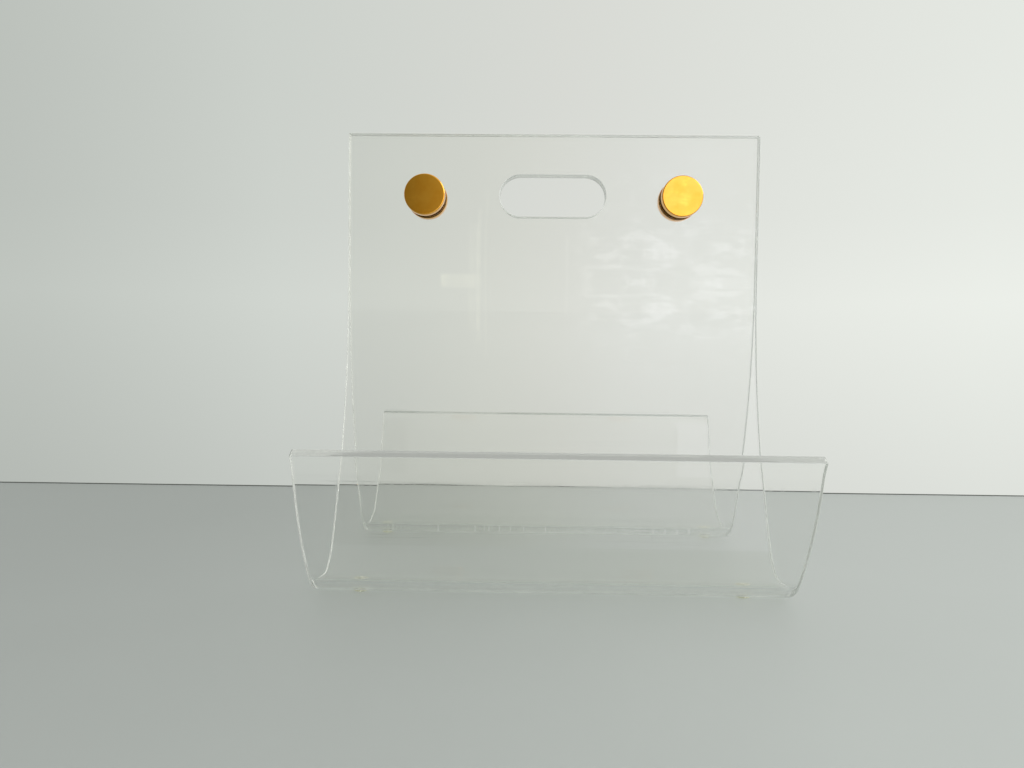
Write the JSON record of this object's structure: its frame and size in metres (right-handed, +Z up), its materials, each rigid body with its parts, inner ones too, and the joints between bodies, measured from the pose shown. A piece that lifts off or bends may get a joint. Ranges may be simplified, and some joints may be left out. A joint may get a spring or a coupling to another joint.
{
  "type": "magazine rack",
  "caption": "Free-standing clear acrylic magazine rack: bent sheets joined back to back by brass-capped studs, with a front and a rear trough and a hand slot.",
  "frame": {"origin": "on the floor, under the middle of the rack, level with the undersides of the four feet", "axes": "+X to the right along the rack's width, -Y towards the front trough and +Y towards the rear trough, +Z up"},
  "size_m": [0.381, 0.387, 0.3999],
  "materials": {
    "clear_acrylic": "water-clear cast acrylic, polished faces and edges",
    "polished_brass": "mirror-polished brass",
    "washer_plastic": "thin clear soft plastic",
    "stud_steel": "zinc-plated threaded steel",
    "foot_rubber": "clear soft polyurethane, slightly yellowed"
  },
  "bodies": {
    "root": {"front_sheet": "clear_acrylic", "rear_sheet": "clear_acrylic", "front_cap_left": "polished_brass", "front_cap_right": "polished_brass", "rear_cap_left": "polished_brass", "rear_cap_right": "polished_brass", "front_washer_left": "washer_plastic", "front_washer_right": "washer_plastic", "rear_washer_left": "washer_plastic", "rear_washer_right": "washer_plastic", "stud_left": "stud_steel", "stud_right": "stud_steel", "front_foot_left": "foot_rubber", "front_foot_right": "foot_rubber", "rear_foot_left": "foot_rubber", "rear_foot_right": "foot_rubber"}
  },
  "joints": []
}
